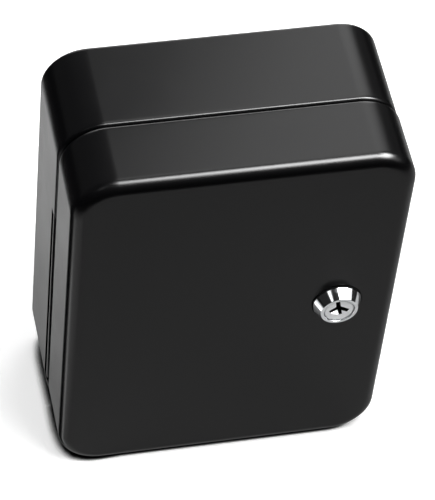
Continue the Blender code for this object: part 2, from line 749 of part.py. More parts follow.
def make_cam():
    # A strip with a step in its side view, trimmed to the cam's front view.
    half = CAM_HUB_RADIUS
    stations = (
        (CAM_HUB_RADIUS, CAM_REAR),
        (-CAM_STEP_START, CAM_REAR),
        (-CAM_STEP_END, CATCH_FRONT - CAM_THICKNESS),
        (-CAM_REACH, CATCH_FRONT - CAM_THICKNESS),
    )
    bm = bmesh.new()
    ends = [bm.verts.new((x, stations[0][0], stations[0][1])) for x in (-half, half)]
    edge = bm.edges.new(ends)
    for along, height in stations[1:]:
        grown = bmesh.ops.extrude_edge_only(bm, edges=[edge])["geom"]
        for item in grown:
            if isinstance(item, bmesh.types.BMVert):
                item.co.y = along
                item.co.z = height
        edge = next(item for item in grown if isinstance(item, bmesh.types.BMEdge))
    if max(bm.faces, key=lambda face: face.calc_center_median().y).normal.z > 0:
        bmesh.ops.reverse_faces(bm, faces=bm.faces)
    bm.normal_update()
    cam = add_lock_part("lock_cam", mesh_from(bm, "lock_cam"), ZINC_PLATE, lock_axis)
    solid = cam.modifiers.new("plate", "SOLIDIFY")
    solid.thickness = CAM_THICKNESS
    solid.offset = -1
    solid.use_even_offset = True
    tip = CAM_WIDTH / 2
    side = math.degrees(math.asin(tip / CAM_HUB_RADIUS))
    outline = arc(CAM_HUB_RADIUS, -90 + side, 270 - side, ROUND_STEPS)
    outline += arc(tip, 180, 360, SMALL_STEPS, (0, tip - CAM_REACH))
    low = min(CAM_REAR, CATCH_FRONT) - CAM_THICKNESS - OVERRUN
    mesh = outline_mesh("cam_outline", outline, low, CAM_FRONT + OVERRUN)
    cut(cam, add_lock_cutter("cam_outline", mesh), "INTERSECT")
    cut(cam, spigot_hole("cam_hole", CAM_REAR, CAM_FRONT))


def make_cam_screw():
    inner = SCREW_RADIUS + SEAT_GAP
    low = WASHER_FRONT - WASHER_THICKNESS
    mesh = ring_mesh("cam_washer", inner, WASHER_RADIUS, low, WASHER_FRONT)
    washer = add_lock_part("cam_washer", mesh, ZINC_PLATE, lock_axis)
    spin(washer, SMALL_STEPS * 2)
    rear = SCREW_SEAT - SCREW_HEAD_HEIGHT
    dome = arc(1, 0, -90, BEND_SEGMENTS)
    points = [(0, SCREW_SEAT + SCREW_LENGTH), (SCREW_RADIUS, SCREW_SEAT + SCREW_LENGTH)]
    points += [(SCREW_RADIUS, SCREW_SEAT), (SCREW_HEAD_RADIUS, SCREW_SEAT)]
    middle = SCREW_SEAT - SCREW_HEAD_HEIGHT / 2
    points += [(SCREW_HEAD_RADIUS * x, middle + SCREW_HEAD_HEIGHT / 2 * y) for x, y in dome[:-1]]
    points.append((0, rear))
    mesh = profile_mesh("cam_screw", points, False)
    screw = add_lock_part("cam_screw", mesh, ZINC_PLATE, lock_axis)
    spin(screw, SMALL_STEPS * 2)
    long = SCREW_HEAD_RADIUS + OVERRUN
    wide = SCREW_SLOT_WIDTH / 2
    slots = []
    for x, y in ((long, wide), (wide, long)):
        low = (-x, -y, rear - OVERRUN)
        slots.append((low, (x, y, rear + SCREW_SLOT_DEPTH)))
    for number, slot in enumerate(slots):
        name = "screw_slot_" + str(number + 1)
        cut(screw, add_lock_cutter(name, box_mesh(name, [slot])))


parent_place = {}
clear_scene()
cabinet = new_collection("key_cabinet")
cutters = new_collection("cutters")
door_axis = new_axis("door_hinge_axis", (HINGE_X, HINGE_Y, 0), None)
lock_axis = new_axis("lock_axis", lock_place(), door_axis)
make_case()
make_door()
make_hinge()
make_rails()
make_gasket()
make_lock_body()
make_nut()
make_plug()
make_stop_washer()
make_cam()
make_cam_screw()
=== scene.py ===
# A small steel key cabinet in black powder coat, with a chrome cam lock.
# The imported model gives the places. The fine surface is built round it here.

import math

import bmesh
import bpy
from mathutils import Matrix, Vector
from mathutils.geometry import intersect_line_line_2d


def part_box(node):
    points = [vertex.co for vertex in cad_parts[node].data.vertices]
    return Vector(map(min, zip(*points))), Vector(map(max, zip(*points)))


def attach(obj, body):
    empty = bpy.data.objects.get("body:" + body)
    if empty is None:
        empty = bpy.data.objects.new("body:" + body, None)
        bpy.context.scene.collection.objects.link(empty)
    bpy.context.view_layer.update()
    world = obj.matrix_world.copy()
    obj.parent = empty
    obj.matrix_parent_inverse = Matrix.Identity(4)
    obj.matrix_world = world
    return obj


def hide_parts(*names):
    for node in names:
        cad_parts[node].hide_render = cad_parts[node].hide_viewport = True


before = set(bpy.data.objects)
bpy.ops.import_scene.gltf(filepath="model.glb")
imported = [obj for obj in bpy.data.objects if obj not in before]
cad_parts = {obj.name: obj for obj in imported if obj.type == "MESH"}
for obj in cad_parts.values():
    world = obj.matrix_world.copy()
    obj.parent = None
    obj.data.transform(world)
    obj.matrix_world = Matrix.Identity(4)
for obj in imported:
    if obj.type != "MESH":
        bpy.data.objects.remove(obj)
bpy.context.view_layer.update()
mm = 0.001
weldDistance = 0.001 * mm
cutterOverrun = 1.5


# Helpers
def linearColour(hexCode):
    channels = [int(hexCode[start:start + 2], 16) / 255 for start in (1, 3, 5)]
    low = 0.04045
    curve = [c / 12.92 if c <= low else ((c + 0.055) / 1.055) ** 2.4 for c in channels]
    return (*curve, 1.0)


def addNode(tree, kind, settings=None, values=None, links=None):
    node = tree.nodes.new(kind)
    for name, value in (settings or {}).items():
        setattr(node, name, value)
    for socket, value in (values or {}).items():
        node.inputs[socket].default_value = value
    for socket, source in (links or {}).items():
        tree.links.new(source, node.inputs[socket])
    return node


def newMaterial(name, colour, metallic, roughness, ior=1.5):
    material = bpy.data.materials.new(name)
    material.use_nodes = True
    shader = material.node_tree.nodes["Principled BSDF"]
    shader.inputs["Base Color"].default_value = linearColour(colour)
    shader.inputs["Metallic"].default_value = metallic
    shader.inputs["Roughness"].default_value = roughness
    shader.inputs["IOR"].default_value = ior
    return material, material.node_tree, shader


def mathNode(tree, operation, first, second, third=0.0):
    # Each of the three is a number or another node's output.
    node = addNode(tree, "ShaderNodeMath", {"operation": operation})
    for index, value in enumerate((first, second, third)):
        if isinstance(value, (int, float)):
            node.inputs[index].default_value = value
        else:
            tree.links.new(value, node.inputs[index])
    return node.outputs[0]


def noiseNode(tree, sizeMm, detail=2.0, stretch=(1, 1, 1)):
    place = addNode(tree, "ShaderNodeTexCoord").outputs["Object"]
    mapping = addNode(tree, "ShaderNodeMapping", values={"Scale": stretch}, links={"Vector": place})
    return addNode(
        tree,
        "ShaderNodeTexNoise",
        values={"Scale": 1 / (sizeMm * mm), "Detail": detail, "Roughness": 0.55},
        links={"Vector": mapping.outputs["Vector"]},
    )


def spread(tree, source, low, high):
    # A pattern's middle range spread over a range of values.
    return addNode(
        tree,
        "ShaderNodeMapRange",
        values={"From Min": 0.3, "From Max": 0.7, "To Min": low, "To Max": high},
        links={"Value": source},
    ).outputs["Result"]


def mixNode(tree, share, first, second):
    # Two colours blended. Each is a value or another node's output.
    node = addNode(tree, "ShaderNodeMix", {"data_type": "RGBA"}, links={0: share})
    for socket, colour in ((6, first), (7, second)):
        if isinstance(colour, tuple):
            node.inputs[socket].default_value = colour
        else:
            tree.links.new(colour, node.inputs[socket])
    return node.outputs[2]


def roughSkin(tree, shader, noises):
    # Bumps laid over each other, each a height pattern and its depth in millimetres.
    normal = None
    for height, depthMm in noises:
        links = {"Height": height}
        if normal:
            links["Normal"] = normal
        depth = {"Strength": 1.0, "Distance": depthMm * mm}
        bump = addNode(tree, "ShaderNodeBump", values=depth, links=links)
        normal = bump.outputs["Normal"]
    tree.links.new(normal, shader.inputs["Normal"])


def riseNode(tree, value, start, end, low=0.0, high=1.0, softly=True):
    # From one value at the start to another at the end, softly or evenly.
    return addNode(
        tree,
        "ShaderNodeMapRange",
        {"interpolation_type": "SMOOTHSTEP" if softly else "LINEAR"},
        {"From Min": start, "From Max": end, "To Min": low, "To Max": high},
        {"Value": value},
    ).outputs["Result"]


def newPiece(bm, name, place=None):
    if place:
        bm.transform(place)
    bmesh.ops.recalc_face_normals(bm, faces=bm.faces)
    mesh = bpy.data.meshes.new(name)
    bm.to_mesh(mesh)
    bm.free()
    piece = bpy.data.objects.new(name, mesh)
    bpy.context.scene.collection.objects.link(piece)
    return piece


def settle(piece):
    # The modifiers become plain mesh, so that a cutter can go.
    bpy.context.view_layer.update()
    graph = bpy.context.evaluated_depsgraph_get()
    mesh = bpy.data.meshes.new_from_object(piece.evaluated_get(graph))
    piece.modifiers.clear()
    old = piece.data
    piece.data = mesh
    bpy.data.meshes.remove(old)


def carve(piece, cutters, operation="DIFFERENCE"):
    for cutter in cutters:
        cut = piece.modifiers.new("cut", "BOOLEAN")
        cut.operation = operation
        cut.object = cutter
        cut.solver = "EXACT"
    settle(piece)
    for cutter in cutters:
        bpy.data.objects.remove(cutter)
    # A weld clears the slivers that the cuts leave.
    bm = bmesh.new()
    bm.from_mesh(piece.data)
    bmesh.ops.remove_doubles(bm, verts=bm.verts, dist=weldDistance)
    bmesh.ops.dissolve_degenerate(bm, edges=bm.edges, dist=weldDistance)
    bmesh.ops.holes_fill(bm, edges=[edge for edge in bm.edges if edge.is_boundary])
    bm.to_mesh(piece.data)
    bm.free()


def dress(piece, material, body, node, edgeMm, smoothDegrees=32):
    # Edges broken as on the real piece, then the finish and the body that carries it.
    mesh = piece.data
    mesh.materials.clear()
    mesh.materials.append(material)
    mesh.shade_smooth()
    mesh.set_sharp_from_angle(angle=math.radians(smoothDegrees))
    if edgeMm:
        edge = piece.modifiers.new("broken edges", "BEVEL")
        edge.width = edgeMm * mm
        edge.segments = 2
        edge.limit_method = "ANGLE"
        edge.angle_limit = math.radians(smoothDegrees)
        edge.miter_outer = "MITER_ARC"
    flat = piece.modifiers.new("flat faces stay flat", "WEIGHTED_NORMAL")
    flat.keep_sharp = True
    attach(piece, body)
    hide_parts(node)


def boxShape(low, high):
    # Corners in millimetres.
    bm = bmesh.new()
    low = Vector(low) * mm
    high = Vector(high) * mm
    middle = Matrix.Translation((low + high) / 2)
    bmesh.ops.create_cube(bm, size=1, matrix=middle @ Matrix.Diagonal((*(high - low), 1)))
    return bm


def rodShape(radius, low, high, segments=64):
    # A round rod along Z, in millimetres.
    bm = bmesh.new()
    bmesh.ops.create_cone(
        bm,
        cap_ends=True,
        segments=segments,
        radius1=radius * mm,
        radius2=radius * mm,
        depth=(high - low) * mm,
        matrix=Matrix.Translation((0, 0, (low + high) / 2 * mm)),
    )
    return bm


def turnedShape(profile, closed, steps=96):
    # A profile of radius and height, in millimetres, turned about Z.
    bm = bmesh.new()
    points = [bm.verts.new((radius * mm, 0, height * mm)) for radius, height in profile]
    for first, second in zip(points, points[1:]):
        bm.edges.new((first, second))
    if closed:
        bm.edges.new((points[-1], points[0]))
    bmesh.ops.spin(
        bm,
        geom=list(bm.verts) + list(bm.edges),
        cent=(0, 0, 0),
        axis=(0, 0, 1),
        angle=math.tau,
        steps=steps,
        use_merge=True,
    )
    bmesh.ops.remove_doubles(bm, verts=bm.verts, dist=weldDistance)
    return bm


def plateShape(outline, low, high):
    # A flat outline in XY, in millimetres, given a thickness along Z.
    bm = bmesh.new()
    face = bm.faces.new([bm.verts.new((x * mm, y * mm, low * mm)) for x, y in outline])
    raised = bmesh.ops.extrude_face_region(bm, geom=[face])["geom"]
    lifted = [item for item in raised if isinstance(item, bmesh.types.BMVert)]
    bmesh.ops.translate(bm, verts=lifted, vec=(0, 0, (high - low) * mm))
    return bm


def arcPoints(radius, start, end, steps, middle=(0, 0)):
    turns = [math.radians(start + (end - start) * step / steps) for step in range(steps + 1)]
    return [(middle[0] + radius * math.cos(turn), middle[1] + radius * math.sin(turn)) for turn in turns]


# Camera
cameraView = {
    "place": (-0.23355, -0.78433, 1.12658),
    "turnDegrees": 16.64,
    "downDegrees": 51.37,
    "tiltDegrees": 6.75,
    "lensMm": 209.0,
    "sensorMm": 36,
}


def makeCamera(view):
    lens = bpy.data.cameras.new("camera")
    lens.lens = view["lensMm"]
    lens.sensor_width = view["sensorMm"]
    lens.clip_end = 50
    camera = bpy.data.objects.new("camera", lens)
    bpy.context.scene.collection.objects.link(camera)
    turn = Matrix.Rotation(-math.radians(view["turnDegrees"]), 4, "Z")
    raised = Matrix.Rotation(math.pi / 2 - math.radians(view["downDegrees"]), 4, "X")
    tilt = Matrix.Rotation(math.radians(view["tiltDegrees"]), 4, "Z")
    camera.matrix_world = Matrix.Translation(view["place"]) @ turn @ raised @ tilt
    bpy.context.scene.camera = camera


# Lamps: softboxes round the cabinet. Each has the side it hangs on, its distance, its size,
# how bright its face is, and how far it dims in from its left, right, near and far edge, as
# shares of its size. A card is a bright surface that only glossy paint and metal mirror, and the
# left lamp is one that they don't.
softboxes = {
    "overhead": {"side": (0.20, -0.24, 0.96), "away": 1.20, "size": (0.40, 0.70), "glow": 16},
    "topBack": {"side": (0.40, 0.50, 0.77), "away": 1.20, "size": (0.68, 1.10), "glow": 3.5},
    "right": {"side": (0.74, -0.30, 0.60), "away": 1.25, "size": (0.50, 0.90), "glow": 1.6},
    "leftStrip": {"side": (-0.50, -0.35, 0.79), "away": 1.20, "size": (0.30, 0.50), "glow": 1.8},
    "left": {"side": (-0.80, 0.10, 0.59), "away": 0.60, "size": (0.30, 0.25), "glow": 7.0},
    "overCard": {"side": (0.22, -0.24, 0.96), "away": 1.15, "size": (0.44, 0.62), "glow": 32},
    "highCard": {"side": (0.56, -0.22, 0.80), "away": 1.10, "size": (0.80, 0.66), "glow": 62},
    "lowBackCard": {"side": (0.12, 0.92, 0.36), "away": 1.30, "size": (1.60, 0.50), "glow": 7.0},
}
for name, fade in (
    ("overhead", (0.10, 0.20, 0.20, 0.20)),
    ("topBack", (0.60, 0.05, 0.10, 0.10)),
    ("leftStrip", (0.40, 0.40, 0.30, 0.30)),
    ("overCard", (0.55, 0.05, 0.30, 0.30)),
    ("highCard", (0.50, 0.10, 0.35, 0.35)),
    ("lowBackCard", (0.20, 0.20, 0.20, 0.20)),
):
    softboxes[name]["fade"] = fade
for name in ("overCard", "highCard", "lowBackCard"):
    softboxes[name]["card"] = True
softboxes["left"]["mirrored"] = False
lampsFace = Vector((0, 0, 0.1))


def fadeEdges(lamp, fade):
    lamp.use_nodes = True
    tree = lamp.node_tree
    place = addNode(tree, "ShaderNodeNewGeometry").outputs["Parametric"]
    split = addNode(tree, "ShaderNodeSeparateXYZ", links={0: place}).outputs
    strength = 1.0
    for along, low, high in ((split["X"], fade[0], fade[1]), (split["Y"], fade[2], fade[3])):
        for start, end in ((0.0, low), (1.0, 1.0 - high)):
            strength = mathNode(tree, "MULTIPLY", strength, riseNode(tree, along, start, end))
    tree.links.new(strength, tree.nodes["Emission"].inputs["Strength"])


def makeSoftbox(name, box):
    width, height = box["size"]
    lamp = bpy.data.lights.new(name, "AREA")
    lamp.shape = "RECTANGLE"
    lamp.size = width
    lamp.size_y = height
    lamp.energy = box["glow"] * math.pi * width * height
    if "fade" in box:
        fadeEdges(lamp, box["fade"])
    holder = bpy.data.objects.new(name, lamp)
    bpy.context.scene.collection.objects.link(holder)
    side = Vector(box["side"]).normalized()
    holder.location = lampsFace + side * box["away"]
    holder.rotation_euler = side.to_track_quat("Z", "Y").to_euler()
    holder.visible_camera = False
    holder.visible_diffuse = not box.get("card", False)
    holder.visible_glossy = box.get("mirrored", True)


# The floor's own colours, what the camera and the mirrors see of it, and the painted contact shadow
# and painted reflections laid on it. Places are in metres, and the turns round the cabinet's left
# front corner in degrees.
studio = {
    "floorSize": 12,
    "floorDropMm": 0.3,
    "nearColour": "#9a9a9a",
    "seenColour": "#fafafa",
    "farColour": "#181818",
    "nearReach": (0.26, 0.38),
    "nearShift": -0.07,
    "nearStretch": 0.6,
    "floorWhite": 0.46,
    "floorMirrored": 0.18,
    # Painted reflection: mirrors see the floor brighter to the left of the cabinet.
    "paintedReflectionLeft": 2.6,
    "leftEdge": (-0.07, -0.11),
    "corner": (-0.073, -0.035),
    # Painted reflections beside the left front corner, seen by mirrors only: a dark wedge and a pale
    # glowing strip.
    "paintedDarkBetween": (4, 62),
    "paintedHighlightBetween": (-14, 2),
    "turnSoftness": 3,
    "paintedHighlightReach": (0.16, 0.10),
    "paintedHighlightGlow": 1.3,
    # The painted contact shadow on the floor.
    "paintedShadowSamples": 64,
    "paintedShadowReach": 0.020,
    "paintedShadowRange": (0.31, 0.47),
    "paintedShadowSide": (-0.045, -0.068),
    "paintedShadowShift": 0.16,
    "room": 0.02,
    "backdropMirrored": 0.10,
}


def band(tree, value, low, high, softness):
    # One between two values, falling to zero over the softness at each end.
    rise = riseNode(tree, value, low - softness, low)
    fall = riseNode(tree, value, high + softness, high)
    return mathNode(tree, "MULTIPLY", rise, fall)


def makeFloor(settings):
    # Pale paper round the cabinet on a dark floor. The camera sees it all white, with the cabinet's
    # shadow and a painted contact shadow. Paint and metal mirror it with painted reflections: a dark
    # wedge and a pale glowing strip beside the left front corner, and a brighter floor to the left.
    bm = bmesh.new()
    bmesh.ops.create_grid(bm, x_segments=1, y_segments=1, size=settings["floorSize"] / 2)
    bmesh.ops.translate(bm, verts=bm.verts, vec=(0, 0, -settings["floorDropMm"] * mm))
    floor = newPiece(bm, "studioFloor")
    material, tree, shader = newMaterial("paperFloor", settings["nearColour"], 0, 0.9)
    shader.inputs["Specular IOR Level"].default_value = 0.1
    rays = addNode(tree, "ShaderNodeLightPath").outputs
    mirrored = mathNode(tree, "ADD", rays["Is Glossy Ray"], rays["Is Transmission Ray"])
    place = addNode(tree, "ShaderNodeTexCoord").outputs["Object"]
    split = addNode(tree, "ShaderNodeSeparateXYZ", links={0: place}).outputs
    stretched = {"Location": (settings["nearShift"], 0, 0), "Scale": (settings["nearStretch"], 1, 1)}
    centred = addNode(tree, "ShaderNodeMapping", values=stretched, links={"Vector": place}).outputs[0]
    away = addNode(tree, "ShaderNodeVectorMath", {"operation": "LENGTH"}, links={0: centred})
    beyond = riseNode(tree, away.outputs["Value"], *settings["nearReach"], softly=False)
    # The turn round the corner, counted from the left towards the back.
    forward = mathNode(tree, "SUBTRACT", split["Y"], settings["corner"][1])
    leftward = mathNode(tree, "SUBTRACT", settings["corner"][0], split["X"])
    turn = mathNode(tree, "MULTIPLY", mathNode(tree, "ARCTAN2", forward, leftward), math.degrees(1))
    soft = settings["turnSoftness"]
    # Painted reflections for mirrors only: a dark wedge and a pale glowing strip, fading with distance.
    paintedDarkReflection = mathNode(tree, "MULTIPLY", band(tree, turn, *settings["paintedDarkBetween"], soft), mirrored)
    strip = mathNode(tree, "MULTIPLY", band(tree, turn, *settings["paintedHighlightBetween"], soft), mirrored)
    outward = mathNode(tree, "MULTIPLY_ADD", forward, forward, mathNode(tree, "POWER", leftward, 2.0))
    close = riseNode(tree, mathNode(tree, "SQRT", outward, 0.0), *settings["paintedHighlightReach"])
    strip = mathNode(tree, "MULTIPLY", strip, close)
    dark = mathNode(tree, "MAXIMUM", beyond, paintedDarkReflection)
    near, far = linearColour(settings["nearColour"]), linearColour(settings["farColour"])
    colour = mixNode(tree, dark, near, far)
    # A painted contact shadow: the floor darkens where the cabinet meets it and closes it in. It reaches
    # further beside the left wall.
    paintedShadowOcclusion = addNode(
        tree,
        "ShaderNodeAmbientOcclusion",
        {"samples": settings["paintedShadowSamples"]},
        {"Distance": settings["paintedShadowReach"]},
    ).outputs["AO"]
    shift = riseNode(tree, split["X"], *settings["paintedShadowSide"], 0.0, settings["paintedShadowShift"], False)
    depth = riseNode(tree, mathNode(tree, "SUBTRACT", paintedShadowOcclusion, shift), *settings["paintedShadowRange"])
    whiteWithPaintedShadow = mixNode(tree, depth, linearColour("#000000"), linearColour(settings["seenColour"]))
    seen = mixNode(tree, rays["Is Camera Ray"], colour, whiteWithPaintedShadow)
    tree.links.new(seen, shader.inputs["Base Color"])
    # Painted reflection for mirrors only: the floor brighter to the left of the cabinet.
    left = riseNode(tree, split["X"], *settings["leftEdge"], 1.0, settings["paintedReflectionLeft"], False)
    within = mathNode(tree, "SUBTRACT", 1.0, dark)
    pale = mathNode(tree, "MULTIPLY", mathNode(tree, "MULTIPLY", mirrored, within), left)
    pale = mathNode(tree, "MULTIPLY", pale, settings["floorMirrored"])
    pale = mathNode(tree, "MULTIPLY_ADD", strip, settings["paintedHighlightGlow"], pale)
    white = mathNode(tree, "MULTIPLY_ADD", beyond, 1 - settings["floorWhite"], settings["floorWhite"])
    white = mathNode(tree, "MULTIPLY", white, depth)
    glow = mathNode(tree, "MULTIPLY_ADD", rays["Is Camera Ray"], white, pale)
    emission = addNode(tree, "ShaderNodeEmission", links={"Strength": glow})
    both = addNode(
        tree,
        "ShaderNodeAddShader",
        links={0: shader.outputs[0], 1: emission.outputs[0]},
    )
    tree.links.new(both.outputs[0], tree.nodes["Material Output"].inputs["Surface"])
    floor.data.materials.append(material)


def makeWorld(settings):
    # A dim room. The camera sees it white, and metal mirrors a pale backdrop behind the cabinet.
    world = bpy.data.worlds.new("room")
    bpy.context.scene.world = world
    world.use_nodes = True
    tree = world.node_tree
    background = tree.nodes["Background"]
    background.inputs["Color"].default_value = (1, 1, 1, 1)
    rays = addNode(tree, "ShaderNodeLightPath").outputs
    place = addNode(tree, "ShaderNodeTexCoord").outputs["Generated"]
    split = addNode(tree, "ShaderNodeSeparateXYZ", links={0: place})
    behind = riseNode(tree, split.outputs["Y"], 0.0, 0.5, 0.0, settings["backdropMirrored"], False)
    mirrored = mathNode(tree, "ADD", rays["Is Glossy Ray"], rays["Is Transmission Ray"])
    backdrop = mathNode(tree, "MULTIPLY_ADD", mirrored, behind, settings["room"])
    strength = mathNode(tree, "MAXIMUM", rays["Is Camera Ray"], backdrop)
    tree.links.new(strength, background.inputs["Strength"])


# Materials
powderCoatLook = {
    "colour": "#060607",
    "roughness": (0.22, 0.26),
    "specular": 0.24,
    "peelMm": 1.8,
    "peelDepthMm": 0.0025,
    "grainMm": 0.35,
    "grainDepthMm": 0.0004,
}


def blackPowderCoat(look):
    # Polyester powder, sprayed and baked: an even satin black with a very faint orange peel.
    material, tree, shader = newMaterial("blackPowderCoat", look["colour"], 0, look["roughness"][0])
    shader.inputs["Specular IOR Level"].default_value = look["specular"]
    cloud = noiseNode(tree, 35, 3).outputs["Fac"]
    tree.links.new(spread(tree, cloud, *look["roughness"]), shader.inputs["Roughness"])
    peel = noiseNode(tree, look["peelMm"], 1).outputs["Fac"]
    grain = noiseNode(tree, look["grainMm"], 1).outputs["Fac"]
    roughSkin(tree, shader, [(peel, look["peelDepthMm"]), (grain, look["grainDepthMm"])])
    return material


def brightZincPlate():
    # Steel plated with zinc and passivated: pale grey metal, a little cloudy, with fine drawing lines.
    material, tree, shader = newMaterial("brightZincPlate", "#b9bdc1", 1, 0.28)
    cloud = noiseNode(tree, 6, 4).outputs["Fac"]
    tree.links.new(spread(tree, cloud, 0.2, 0.36), shader.inputs["Roughness"])
    patches = noiseNode(tree, 14, 3).outputs["Fac"]
    tint = mixNode(tree, patches, linearColour("#b3b8bd"), linearColour("#c6c8c6"))
    tree.links.new(tint, shader.inputs["Base Color"])
    lines = noiseNode(tree, 0.4, 2, stretch=(0.04, 1, 1)).outputs["Fac"]
    roughSkin(tree, shader, [(lines, 0.0008)])
    return material


def polishedChrome():
    # Die-cast zinc, polished and chromed: a hard mirror that the casting leaves faintly wavy.
    material, tree, shader = newMaterial("polishedChrome", "#eef0f2", 1, 0.07)
    haze = noiseNode(tree, 2.5, 2).outputs["Fac"]
    tree.links.new(spread(tree, haze, 0.06, 0.12), shader.inputs["Roughness"])
    roughSkin(tree, shader, [(noiseNode(tree, 3, 1).outputs["Fac"], 0.002)])
    return material


def satinChrome(centre):
    # A turned face under chrome: pale and soft, with rings left by the lathe, drawn coarser than real.
    material, tree, shader = newMaterial("satinChrome", "#f2f3f4", 1, 0.3)
    ringMm = 0.3
    place = addNode(tree, "ShaderNodeTexCoord").outputs["Object"]
    centred = addNode(
        tree,
        "ShaderNodeMapping",
        {"vector_type": "POINT"},
        {"Location": [-value for value in centre]},
        {"Vector": place},
    )
    rings = addNode(
        tree,
        "ShaderNodeTexWave",
        {"wave_type": "RINGS", "rings_direction": "Y"},
        {"Scale": math.tau / 20 / (ringMm * mm), "Distortion": 0.4, "Detail": 1.0},
        {"Vector": centred.outputs["Vector"]},
    )
    haze = noiseNode(tree, 1.2, 3).outputs["Fac"]
    tree.links.new(spread(tree, haze, 0.42, 0.54), shader.inputs["Roughness"])
    roughSkin(tree, shader, [(rings.outputs["Fac"], 0.0015), (haze, 0.006)])
    return material


def blackRubber():
    # Moulded rubber: dead black, dull and slightly grainy.
    material, tree, shader = newMaterial("blackRubber", "#0a0a0a", 0, 0.7, 1.52)
    shader.inputs["Specular IOR Level"].default_value = 0.05
    grain = noiseNode(tree, 0.3, 2).outputs["Fac"]
    tree.links.new(spread(tree, grain, 0.62, 0.78), shader.inputs["Roughness"])
    roughSkin(tree, shader, [(grain, 0.004)])
    return material


def keywayShadeBrass():
    # Broached brass in the keyway, dull and coloured almost black as painted shade in the deep slot.
    material, tree, shader = newMaterial("keywayShadeBrass", "#080706", 0, 0.8)
    shader.inputs["Specular IOR Level"].default_value = 0.05
    smear = noiseNode(tree, 0.8, 3).outputs["Fac"]
    tree.links.new(spread(tree, smear, 0.7, 0.9), shader.inputs["Roughness"])
    roughSkin(tree, shader, [(smear, 0.01)])
    return material


# Case and door: two drawn steel trays
traySheet = {
    "width": 150,
    "height": 200,
    "sheet": 1.0,
    "cornerRadius": 20,
    "rimBend": 1.1,
    "rimFlange": 9.0,
    "drawIn": 0.4,
    "drawLength": 2.4,
    "drawCuts": 6,
    "cornerSegments": 28,
    "bendSegments": 6,
    "hingeEndGap": 0.6,
    "notchGap": 0.3,
}
caseTray = {"faceFillet": 2.0, "filletSegments": 6}
caseTray.update({"wallHoleRadius": 3, "wallHoleSpacing": 100, "wallHoleInset": 16})
doorTray = {"faceFillet": 5.6, "filletSegments": 14, "relief": 1.4, "reliefInset": 12}


def loopAt(bm, plane):
    # The ring of edges in a plane across Y where a side meets an end.
    ring = []
    for edge in bm.edges:
        level = all(abs(vert.co.y - plane) < weldDistance for vert in edge.verts)
        if level and len(edge.link_faces) == 2 and edge.calc_face_angle() > math.radians(40):
            ring.append(edge)
    return ring


def drawnTray(name, tray, depthMm, facing, middle):
    # A drawn tray with its face at -Y, or at +Y when facing is -1, and a rim bent inwards.
    sheet = traySheet
    depth = depthMm * mm
    size = (sheet["width"] * mm, depth, sheet["height"] * mm, 1)
    bm = bmesh.new()
    bmesh.ops.create_cube(bm, size=1, matrix=Matrix.Diagonal(size))
    corners = [edge for edge in bm.edges if abs(edge.verts[0].co.y - edge.verts[1].co.y) > depth / 2]
    bmesh.ops.bevel(
        bm,
        geom=corners,
        offset=sheet["cornerRadius"] * mm,
        segments=sheet["cornerSegments"],
        profile=0.5,
        affect="EDGES",
        material=-1,
    )
    mouth = max(bm.faces, key=lambda face: face.calc_center_median().y)
    bmesh.ops.inset_region(bm, faces=[mouth], thickness=sheet["rimFlange"] * mm, use_even_offset=True)
    bmesh.ops.delete(bm, geom=[mouth], context="FACES_ONLY")
    bends = ((1, sheet["rimBend"], sheet["bendSegments"]), (-1, tray["faceFillet"], tray["filletSegments"]))
    for side, radius, segments in bends:
        bmesh.ops.bevel(
            bm,
            geom=loopAt(bm, side * depth / 2),
            offset=radius * mm,
            segments=segments,
            profile=0.5,
            affect="EDGES",
            material=-1,
        )
    drawInMouth(bm, depth)
    if facing < 0:
        bmesh.ops.rotate(bm, verts=bm.verts, cent=(0, 0, 0), matrix=Matrix.Rotation(math.pi, 3, "Z"))
    piece = newPiece(bm, name, Matrix.Translation(middle))
    wall = piece.modifiers.new("sheet", "SOLIDIFY")
    wall.thickness = sheet["sheet"] * mm
    wall.offset = -1
    wall.use_even_offset = True
    settle(piece)
    return piece


def drawInMouth(bm, depth):
    # Drawing leaves the last stretch before the rim curved a little inwards.
    sheet = traySheet
    length = sheet["drawLength"] * mm
    start = depth / 2 - length
    reach = length - sheet["rimBend"] * mm
    for step in range(sheet["drawCuts"]):
        everything = list(bm.verts) + list(bm.edges) + list(bm.faces)
        place = (0, start + reach * step / sheet["drawCuts"], 0)
        bmesh.ops.bisect_plane(bm, geom=everything, plane_co=place, plane_no=(0, 1, 0))
    for vert in bm.verts:
        inward = sheet["drawIn"] * max(0, (vert.co.y - start) / length) ** 2
        vert.co.x *= 1 - inward / (sheet["width"] / 2)
        vert.co.z *= 1 - inward / (sheet["height"] / 2)


def acrossY(x, z):
    # Turns a rod along Z so that it runs along Y through x and z.
    return Matrix.Translation((x, 0, z)) @ Matrix.Rotation(math.pi / 2, 4, "X")


def besideHinge(name, node, inside, levels, heights):
    # A box at a tray's left edge, from a place inside it to past the rim's flange, in millimetres.
    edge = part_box(node)[0].x / mm
    corners = [(edge + inside, levels[0], heights[0])]
    corners.append((edge + traySheet["rimFlange"] + cutterOverrun, levels[1], heights[1]))
    return newPiece(boxShape(*corners), name)


def hingeSpan():
    low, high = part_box("hinge_leaf_case")
    return low.z / mm - traySheet["hingeEndGap"], high.z / mm + traySheet["hingeEndGap"]


